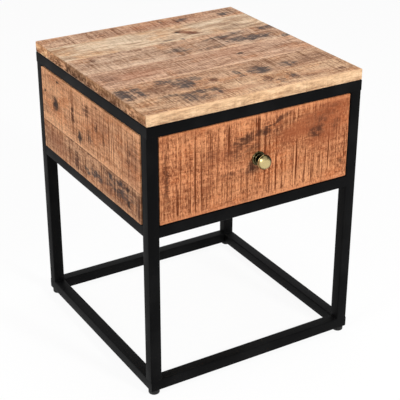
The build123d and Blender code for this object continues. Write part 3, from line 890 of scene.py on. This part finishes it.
def screw_head(made, seat, axis, diameter, rise):
    """Adds a domed head with a cross recess, sitting on a face that looks along the axis."""
    side, other = square_to(axis)
    radius = diameter / 2
    arm, reach, sink = 0.13 * radius, 0.5 * radius, 0.45 * rise
    rings = []
    # Rings from the middle to the rim, with two close together where the cross ends
    for part in (0.0, 0.1, 0.2, 0.3, 0.42, 0.54, 0.56, 0.7, 0.84, 0.94, 1.0):
        height = rise * math.sqrt(1 - 0.85 * part**2)
        ring = circle(made, seat + height * axis, side, other, part * radius, SCREW_SIDES)
        for vertex in ring:
            spot = vertex.co - seat
            near, far = sorted((abs(spot.dot(side)), abs(spot.dot(other))))
            if near < arm and far < reach:
                vertex.co -= sink * axis
        rings.append(ring)
    rings.append(circle(made, seat, side, other, radius, SCREW_SIDES))
    skin(made, rings)


def screw_set(name, places, look, material, body):
    """One piece with all the screws of a kind; places holds (seat, direction)."""
    made = bmesh.new()
    for seat, axis in places:
        screw_head(made, Vector(seat), Vector(axis), look.screw_head, look.screw_rise)
    new_piece(name, made, SHARP_SCREW, [material], body)


def weld_bead(made, start, end, radius, dice):
    """Adds a rippled bead along a corner between two points."""
    run = end - start
    along = run.normalized()
    side = along.orthogonal().normalized()
    other = along.cross(side)
    count = max(6, int(run.length / BEAD_STEP))
    rings = []
    for number in range(count + 1):
        place = number / count
        closing = math.sqrt(max(0.0, 1 - (2 * place - 1) ** 8))
        ripple = 0.86 + 0.14 * math.sin(number * 1.9) + 0.08 * dice.random()
        size = radius * ripple * max(closing, 0.2)
        rings.append(circle(made, start + run * place, side, other, size, BEAD_SIDES))
    skin(made, rings)


def rolled_bar(made, low, high, axis, corner, mitre=None):
    """Adds a square bar along an axis with rounded corners.

    mitre holds the axis across the bar and the place of the outer face that the ends slope in from."""
    first, second = (other for other in range(3) if other != axis)
    outline = []
    for side_a, side_b, start in ((1, 1, 0), (-1, 1, 90), (-1, -1, 180), (1, -1, 270)):
        a = high[first] - corner if side_a > 0 else low[first] + corner
        b = high[second] - corner if side_b > 0 else low[second] + corner
        outline += arc((a, b), corner, start, start + 90, CORNER_SIDES + 1)
    rings = []
    for end, inward in ((low, 1), (high, -1)):
        ring = []
        for a, b in outline:
            spot = Vector((0, 0, 0))
            spot[first], spot[second] = a, b
            slope = abs(spot[mitre[0]] - mitre[1]) if mitre else 0.0
            spot[axis] = end[axis] + inward * slope
            ring.append(made.verts.new(spot))
        rings.append(ring)
    skin(made, rings)


class TABLE_OT_coat_frame(bpy.types.Operator):
    """Coat the tube frame, plates and tabs, and lay the weld beads"""

    bl_idname = "table.coat_frame"
    bl_label = "Coat the frame"

    def execute(self, context):
        look = context.scene.frame_look
        coat = powder_coat(look)
        coat_nodes([f"{side}_board_tabs" for side in CASE_SIDES] + ["top_corner_plates"], coat)
        self.roll_tubes(look, coat)
        made = bmesh.new()
        self.lay_beads(made, look.weld_radius)
        self.grind_joints(made, look.corner)
        new_piece("weld_beads", made, SHARP_WELD, [coat], "table")
        return {"FINISHED"}

    def roll_tubes(self, look, coat):
        """Square tubes with rounded corners: legs and middle rails cut square, the two rings mitred."""
        tubes = [(f"leg_{corner}", 2, None) for corner in CORNERS]
        for side, run in RUNS.items():
            tubes.append((f"middle_rail_{side}", run, None))
            across = 1 - run
            for ring in ("top", "bottom"):
                low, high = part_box(f"{ring}_rail_{side}")
                outer = low if side in ("front", "left") else high
                tubes.append((f"{ring}_rail_{side}", run, (across, outer[across])))
        for node, axis, mitre in tubes:
            made = bmesh.new()
            rolled_bar(made, *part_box(node), axis, look.corner, mitre)
            new_piece(f"rolled_{node}", made, SHARP_METAL, [coat], "table", [node])

    def lay_beads(self, made, radius):
        """Beads at the feet of the legs, on their inner faces, and under the ends of the middle rails."""
        dice = np.random.default_rng(seed=5)
        sunk = 0.35 * radius

        def bead(low, high, axis, place, z):
            """Bead along one level axis of a box, at a place on the other."""
            start, end = Vector((place, place, z)), Vector((place, place, z))
            start[axis], end[axis] = low[axis] + BEAD_MARGIN, high[axis] - BEAD_MARGIN
            weld_bead(made, start, end, radius, dice)

        for corner in CORNERS:
            low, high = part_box(f"leg_{corner}")
            for axis, other in ((1, 0), (0, 1)):
                inner = high[other] + sunk if low[other] < 0 else low[other] - sunk
                bead(low, high, axis, inner, low.z + sunk)
        for side, run in RUNS.items():
            low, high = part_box(f"middle_rail_{side}")
            for place in (low[run] + sunk, high[run] - sunk):
                bead(low, high, 1 - run, place, low.z - sunk)

    def grind_joints(self, made, corner):
        """Fills the grooves that the tubes' rounded corners leave at each joint, flush with the faces."""
        groove, under, sunk = corner + 0.2 * MM, 0.4 * MM, 0.03 * MM
        tubes = [(f"leg_{place}", 2) for place in CORNERS]
        tubes += [(f"middle_rail_{side}", run) for side, run in RUNS.items()]
        for node, axis in tubes:
            low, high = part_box(node)
            inset = Vector((sunk, sunk, sunk))
            inset[axis] = 0
            for reach in (
                (low[axis] - groove, low[axis] + under),
                (high[axis] - under, high[axis] + groove),
            ):
                start, end = low + inset, high - inset
                start[axis], end[axis] = reach
                rolled_bar(made, start, end, axis, corner)


class TABLE_OT_lay_top(bpy.types.Operator):
    """Lay the six sawn boards of the top"""

    bl_idname = "table.lay_top"
    bl_label = "Lay the top"

    def execute(self, context):
        look = context.scene.wood_look
        axes = TOP_LIE[0]
        edge = sawn_wood(
            "slab_edge", "slab_edge", (0, 2, 1), tuple(look.edge), look, seed=41,
            saw=0.2, grain=0.75, figure=0.3, short=2.2, teeth=270, fine=1.0,
        )
        for number, node in enumerate(TOP_BOARDS, start=1):
            tone = tuple(getattr(look, f"top_{number}"))
            face = sawn_wood(
                f"top_wood_{number}", node, axes, tone, look, seed=number + 2,
                saw=TOP_SAWING[number], tilt=0.03, swirl=1.6,
            )
            end_tone = tinted(look.end, [END_TONES[number]] * 3)
            ends = end_grain(f"top_end_{number}", axes, end_tone, look, seed=number + 17)
            front = look.ease if number == 1 else None
            back = look.ease if number == len(TOP_BOARDS) else None
            sawn_board(
                f"sawn_{node}", node, TOP_LIE, look, (front, back, look.ease), [face, edge, ends],
                "table", rows=9, seed=100 + number,
            )
        return {"FINISHED"}


class TABLE_OT_fit_sides(bpy.types.Operator):
    """Fit the sawn boards of the sides and the back"""

    bl_idname = "table.fit_sides"
    bl_label = "Fit the sides"

    def execute(self, context):
        look = context.scene.wood_look
        ease = look.ease * 0.7
        for number, (node, lie) in enumerate(SIDE_BOARDS.items()):
            upper = node.endswith("upper")
            tone = tuple(look.upper_board if upper else look.lower_board)
            saw, grain, rows = (0.9, 0.75, 12) if upper else (1.2, 1.0, 7)
            face = sawn_wood(
                f"{node}_wood", node, lie[0], tone, look, seed=number + 21, saw=saw, grain=grain
            )
            eases = (None, ease, ease) if upper else (ease, None, ease)
            sawn_board(
                f"sawn_{node}", node, lie, look, eases, [face, face],
                "table", rows=rows, seed=200 + number,
            )
        return {"FINISHED"}


class TABLE_OT_make_drawer_front(bpy.types.Operator):
    """Make the sawn front of the drawer"""

    bl_idname = "table.make_drawer_front"
    bl_label = "Make the drawer front"

    def execute(self, context):
        look = context.scene.wood_look
        face = sawn_wood(
            "drawer_front_wood", "drawer_front", FRONT_LIE[0], tuple(look.front), look, seed=9,
            saw=1.35, grain=0.75, swirl=1.6, teeth=300, fine=1.7, gold=(1.5, 1.85, 1.95),
        )
        eases = (look.ease, look.ease, look.ease)
        sawn_board(
            "sawn_drawer_front", "drawer_front", FRONT_LIE, look, eases, [face, face],
            "drawer", rows=18, seed=301,
        )
        return {"FINISHED"}


class TABLE_OT_finish_drawer_box(bpy.types.Operator):
    """Finish the drawer box and drive its screws"""

    bl_idname = "table.finish_drawer_box"
    bl_label = "Finish the drawer box"

    def execute(self, context):
        wood = context.scene.wood_look
        look = context.scene.frame_look
        along_y = planed_wood("box_side_wood", (1, 2, 0), tuple(wood.box), seed=3)
        along_x = planed_wood("box_cross_wood", (0, 2, 1), tuple(wood.box), seed=5)
        ply = planed_wood("bottom_plywood", (0, 1, 2), tuple(wood.ply), seed=8, figure=1.6)
        coat_nodes(["drawer_bottom"], ply)
        boards = {
            "drawer_side_left": along_y,
            "drawer_side_right": along_y,
            "drawer_inner_front": along_x,
            "drawer_back": along_x,
        }
        for node, board_wood in boards.items():
            self.plane_board(node, board_wood)
        low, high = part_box("drawer_inner_front")
        aside, up, down = 40 * MM, 30 * MM, 22 * MM
        places = [
            ((x, high.y, z), (0, 1, 0))
            for x in (low.x + aside, high.x - aside)
            for z in (low.z + up, high.z - down)
        ]
        screw_set("front_screws", places, look, zinc_plate(look), "drawer")
        return {"FINISHED"}

    def plane_board(self, node, wood):
        """Board of the box in the shape of its node, with its sharp edges eased."""
        made = bmesh.new()
        made.from_mesh(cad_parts[node].data)
        bmesh.ops.remove_doubles(made, verts=made.verts, dist=SAME_POINT)
        sharp = [edge for edge in made.edges if edge.calc_face_angle(0.0) > math.radians(30)]
        bmesh.ops.bevel(
            made, geom=sharp, affect="EDGES", offset=0.8 * MM, offset_type="OFFSET", segments=2, profile=0.5
        )
        new_piece(f"planed_{node}", made, SHARP_METAL, [wood], "drawer", [node])


class TABLE_OT_finish_slides(bpy.types.Operator):
    """Finish the ball slides and drive the screws of slides, plates and tabs"""

    bl_idname = "table.finish_slides"
    bl_label = "Finish the slides"

    def execute(self, context):
        look = context.scene.frame_look
        zinc = zinc_plate(look)
        members = ("cabinet", "outer_cage", "middle", "inner_cage", "drawer")
        coat_nodes([f"slide_{side}_{member}" for side in ("left", "right") for member in members], zinc)
        coat_nodes(["foot_nuts"], zinc)
        sheet = 1.2 * MM
        cabinet, drawer = [], []
        for side, inward in (("left", 1), ("right", -1)):
            low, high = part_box(f"slide_{side}_cabinet")
            drawer_low, drawer_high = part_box(f"slide_{side}_drawer")
            middle_z = (low.z + high.z) / 2
            web = (low.x if inward > 0 else high.x) + inward * sheet
            drawer_web = (drawer_high.x if inward > 0 else drawer_low.x) - inward * sheet
            for share_along in (0.12, 0.5, 0.86):
                y = low.y + (high.y - low.y) * share_along
                cabinet.append(((web, y, middle_z), (inward, 0, 0)))
                drawer.append(((drawer_web, y, middle_z), (-inward, 0, 0)))
        screw_set("cabinet_slide_screws", cabinet, look, zinc, "table")
        screw_set("drawer_slide_screws", drawer, look, zinc, "drawer")
        low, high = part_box("top_corner_plates")
        inset = 14 * MM
        plates = [
            ((x, y, low.z), (0, 0, -1))
            for x in (low.x + inset, high.x - inset)
            for y in (low.y + inset, high.y - inset)
        ]
        screw_set("top_plate_screws", plates, look, zinc, "table")
        self.drive_tab_screws(look, zinc)
        return {"FINISHED"}

    def drive_tab_screws(self, look, zinc):
        """One screw through each tab into its board."""
        places = []
        half_tab, away = 12.5 * MM, 10 * MM
        for side in CASE_SIDES:
            low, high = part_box(f"{side}_board_tabs")
            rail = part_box(f"middle_rail_{side}")[1].z
            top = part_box(f"top_rail_{side}")[0].z
            for z in (rail + away, top - away):
                if side == "back":
                    for x in (low.x + half_tab, high.x - half_tab):
                        places.append(((x, low.y, z), (0, -1, 0)))
                else:
                    face, inward = (high.x, 1) if side == "left" else (low.x, -1)
                    for y in (low.y + half_tab, high.y - half_tab):
                        places.append(((face, y, z), (inward, 0, 0)))
        screw_set("tab_screws", places, look, zinc, "table")


class TABLE_OT_turn_knob(bpy.types.Operator):
    """Turn the brass knob, its rose and its screw"""

    bl_idname = "table.turn_knob"
    bl_label = "Turn the knob"

    def execute(self, context):
        look = context.scene.knob_look
        low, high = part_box("knob_rose")
        seat = Vector(((low.x + high.x) / 2, high.y, (low.z + high.z) / 2))
        out = Vector((0, -1, 0))
        neck = 4.5 * MM
        plate = (high.x - low.x) / 2
        base = high.y - low.y
        lip, hollow, collar = 1.6 * MM, 1.3 * MM, 1.0 * MM
        rose = [(0, 0), (plate - 0.4 * MM, 0)]
        rose += arc((plate - lip, lip), lip, -40, 70, 8)
        rose += arc((plate - 4.2 * MM, 4.6 * MM), hollow, -60, -110, 5)
        rose += arc((7.6 * MM, base - 1.2 * MM), collar, -20, 90, 7)
        rose += [(5.4 * MM, base - 0.2 * MM), (neck, base), (0, base)]
        rub = [0.0, 0.1, 0.5, 0.6, 0.7, 0.6, 0.5, 0.4, 0.3, 0.25] + [0.1] * 5
        rub += [0.2, 0.3, 0.45, 0.5, 0.4, 0.3, 0.2, 0.1, 0.0, 0.0]
        brass = aged_brass("rose_brass", look, 0.22, seat, plate)
        made = turned(rose, look.steps, seat, out, rub)
        new_piece("turned_rose", made, SHARP_METAL, [brass], "drawer", ["knob_rose"])

        low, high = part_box("knob")
        head = (high.x - low.x) / 2
        tip = seat.y - low.y
        flare, edge = 2.5 * MM, 0.75 * MM
        underside = base + look.neck
        dome = tip - (underside + look.rim)
        cap = (head**2 + dome**2) / (2 * dome)
        reach = math.degrees(math.asin(head / cap))
        knob = [(0, base), (neck, base)]
        knob += [(neck, base + (underside - flare - base) * part) for part in (0.25, 0.5, 0.75, 1.0)]
        knob += arc((neck + flare, underside - flare), flare, 180, 95, 8)[1:]
        knob += [(head - 1.4 * MM, underside)]
        knob += arc((head - edge, underside + edge), edge, -80, 60, 8)
        rub = [0.0] * 2 + [0.15] * 4 + [0.1] * 7 + [0.2] + [0.5] * 8
        crown = arc((0, tip - cap), cap, 90 - reach, 90, 24)[1:]
        rub += list(np.linspace(0.2, 0.95, len(crown)))
        brass = aged_brass("knob_brass", look, 1.0, seat, head)
        made = turned(knob + crown, look.steps, seat, out, rub)
        new_piece("turned_knob", made, SHARP_METAL, [brass], "drawer", ["knob"])
        self.cut_screw(context.scene.frame_look)
        return {"FINISHED"}

    def cut_screw(self, look):
        """Machine screw with a cross recess in its head, inside the drawer."""
        low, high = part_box("knob_screw")
        head_rise, radius, pitch, cut = 2.6 * MM, 2.0 * MM, 0.7 * MM, 0.25 * MM
        seat = Vector(((low.x + high.x) / 2, high.y - head_rise, (low.z + high.z) / 2))
        made = bmesh.new()
        screw_head(made, seat, Vector((0, 1, 0)), high.x - low.x, head_rise)
        shank = seat.y - low.y
        count = 2 * int(shank / pitch)
        rings = []
        for number in range(count + 1):
            centre = seat - Vector((0, shank * number / count, 0))
            size = radius - cut * (number % 2)
            rings.append(circle(made, centre, Vector((1, 0, 0)), Vector((0, 0, 1)), size, THREAD_SIDES))
        skin(made, rings)
        zinc = zinc_plate(look)
        new_piece("cut_knob_screw", made, SHARP_SCREW, [zinc], "drawer", ["knob_screw"])


class TABLE_OT_fit_feet(bpy.types.Operator):
    """Fit the moulded feet"""

    bl_idname = "table.fit_feet"
    bl_label = "Fit the feet"

    def execute(self, context):
        look = context.scene.frame_look
        nylon = moulded_nylon(look)
        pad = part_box("bottom_rail_front")[0].z
        groove = 0.6 * pad
        stem, lip, thread, turns = 3.0 * MM, 0.6 * MM, 0.35 * MM, 8
        bend = look.foot_round
        for corner in CORNERS:
            node = f"foot_{corner}"
            low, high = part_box(node)
            radius = (high.x - low.x) / 2
            step = (high.z - pad) / turns
            profile = [(0, 0.0), (radius - bend - 2 * MM, 0.0)]
            profile += arc((radius - bend, bend), bend, -90, 0, 8)
            profile += [(radius, groove - lip), (radius - 0.5 * MM, groove), (radius, groove + lip)]
            profile += arc((radius - lip, pad - lip), lip, 0, 90, 4)
            profile += [(stem, pad)]
            for turn in range(turns):
                profile.append((stem, pad + step * (turn + 0.25)))
                profile.append((stem - thread, pad + step * (turn + 0.75)))
            profile += [(stem - 0.3 * MM, high.z), (0, high.z)]
            centre = Vector(((low.x + high.x) / 2, (low.y + high.y) / 2, low.z))
            made = turned(profile, FOOT_SIDES, centre, Vector((0, 0, 1)))
            new_piece(f"moulded_{node}", made, SHARP_METAL, [nylon], f"{node}_body", [node])
        return {"FINISHED"}


class TABLE_OT_set_studio(bpy.types.Operator):
    """Set up the floor, the lamps and the camera"""

    bl_idname = "table.set_studio"
    bl_label = "Set up the studio"

    def execute(self, context):
        look = context.scene.studio_look
        scene = context.scene
        scene.view_settings.view_transform = "Standard"
        self.lay_floor(scene, look)
        self.light_world(scene, look)
        key = self.hang_lamp(scene, "key_lamp", look.key, (0.7, -2.75, 1.75), (0, -0.18, 0.4), size=0.45)
        key.visible_glossy = False
        self.hang_lamp(scene, "fill_lamp", look.fill, (-2.3, -0.6, 1.9), (0, 0, 0.35), size=1.4)
        self.hang_lamp(scene, "overhead_lamp", look.overhead, (0.3, 0.2, 2.7), (0, 0, 0.5), size=1.6)
        self.set_camera(scene, look)
        return {"FINISHED"}

    def shown_white(self, tree):
        """One for what the eye, a mirror or a glass sees directly."""
        path = add_node(tree, "LightPath", {})
        seen = path.outputs["Is Camera Ray"]
        for name in ("Is Glossy Ray", "Is Transmission Ray"):
            either = add_node(tree, "Math", {0: seen, 1: path.outputs[name]}, operation="MAXIMUM")
            seen = either.outputs[0]
        return seen

    def lay_floor(self, scene, look):
        """White cloth that looks nearly pure white to the eye but takes shadows."""
        mesh = bpy.data.meshes.new("floor")
        half = 12.0
        corners = [(-half, -half, 0), (half, -half, 0), (half, half, 0), (-half, half, 0)]
        mesh.from_pydata(corners, [], [(0, 1, 2, 3)])
        floor = bpy.data.objects.new("floor", mesh)
        scene.collection.objects.link(floor)
        material = bpy.data.materials.new("studio_floor")
        material.use_nodes = True
        tree = material.node_tree
        tree.nodes.clear()
        cloth = add_node(tree, "BsdfDiffuse", {"Color": tuple(look.floor)})
        white = add_node(tree, "Emission", {"Strength": 1.0})
        part = add_node(tree, "Math", {0: self.shown_white(tree), 1: FLOOR_WHITE}, operation="MULTIPLY")
        inputs = {"Fac": part.outputs[0], 1: cloth.outputs[0], 2: white.outputs[0]}
        mixed = add_node(tree, "MixShader", inputs)
        add_node(tree, "OutputMaterial", {"Surface": mixed.outputs[0]})
        mesh.materials.append(material)

    def light_world(self, scene, look):
        """Dim light from all round, while the eye itself sees plain white."""
        world = bpy.data.worlds.new("studio_world")
        scene.world = world
        world.use_nodes = True
        tree = world.node_tree
        tree.nodes.clear()
        inputs = {"Value": self.shown_white(tree), "To Min": look.ambient, "To Max": 1.0}
        strength = add_node(tree, "MapRange", inputs)
        background = add_node(tree, "Background", {"Color": (1, 1, 1), "Strength": strength.outputs[0]})
        add_node(tree, "OutputWorld", {"Surface": background.outputs[0]})

    def hang_lamp(self, scene, name, energy, place, target, size):
        """Round lamp at a place, turned to a target."""
        lamp = bpy.data.lights.new(name, "AREA")
        lamp.shape = "DISK"
        lamp.size = size
        lamp.energy = energy
        hung = bpy.data.objects.new(name, lamp)
        hung.location = place
        hung.rotation_euler = (Vector(target) - Vector(place)).to_track_quat("-Z", "Y").to_euler()
        scene.collection.objects.link(hung)
        return hung

    def set_camera(self, scene, look):
        """Camera that stands where the photograph was taken."""
        lens = bpy.data.cameras.new("camera")
        lens.lens = look.lens
        lens.sensor_width = 36.0
        camera = bpy.data.objects.new("camera", lens)
        level = math.cos(look.pitch)
        forward = Vector(
            (math.sin(look.heading) * level, math.cos(look.heading) * level, math.sin(look.pitch))
        )
        turn = forward.to_track_quat("-Z", "Y").to_matrix() @ Matrix.Rotation(look.roll, 3, "Z")
        camera.location = look.eye
        camera.rotation_euler = turn.to_euler()
        scene.collection.objects.link(camera)
        scene.camera = camera


class TABLE_PT_panel(bpy.types.Panel):
    """Lists the steps and settings of the table"""

    bl_idname = "TABLE_PT_panel"
    bl_label = "Side table"
    bl_space_type = "VIEW_3D"
    bl_region_type = "UI"
    bl_category = "Table"

    def draw(self, context):
        for operator in OPERATORS:
            self.layout.operator(operator.bl_idname)
        for group in LOOKS:
            look = getattr(context.scene, group)
            box = self.layout.box()
            box.label(text=group.replace("_", " ").capitalize())
            for name in look.__annotations__:
                box.prop(look, name)


LOOKS = {
    "frame_look": FrameLook,
    "wood_look": WoodLook,
    "knob_look": KnobLook,
    "studio_look": StudioLook,
}
OPERATORS = (
    TABLE_OT_coat_frame,
    TABLE_OT_lay_top,
    TABLE_OT_fit_sides,
    TABLE_OT_make_drawer_front,
    TABLE_OT_finish_drawer_box,
    TABLE_OT_finish_slides,
    TABLE_OT_turn_knob,
    TABLE_OT_fit_feet,
    TABLE_OT_set_studio,
)


def register():
    for group in LOOKS.values():
        bpy.utils.register_class(group)
    for operator in OPERATORS:
        bpy.utils.register_class(operator)
    bpy.utils.register_class(TABLE_PT_panel)
    for name, group in LOOKS.items():
        setattr(bpy.types.Scene, name, bpy.props.PointerProperty(type=group))


def unregister():
    for name in LOOKS:
        delattr(bpy.types.Scene, name)
    for made in (TABLE_PT_panel, *OPERATORS, *LOOKS.values()):
        bpy.utils.unregister_class(made)


def main():
    """Runs every step in order."""
    register()
    bpy.ops.table.coat_frame()
    bpy.ops.table.lay_top()
    bpy.ops.table.fit_sides()
    bpy.ops.table.make_drawer_front()
    bpy.ops.table.finish_drawer_box()
    bpy.ops.table.finish_slides()
    bpy.ops.table.turn_knob()
    bpy.ops.table.fit_feet()
    bpy.ops.table.set_studio()


if __name__ == "__main__":
    main()
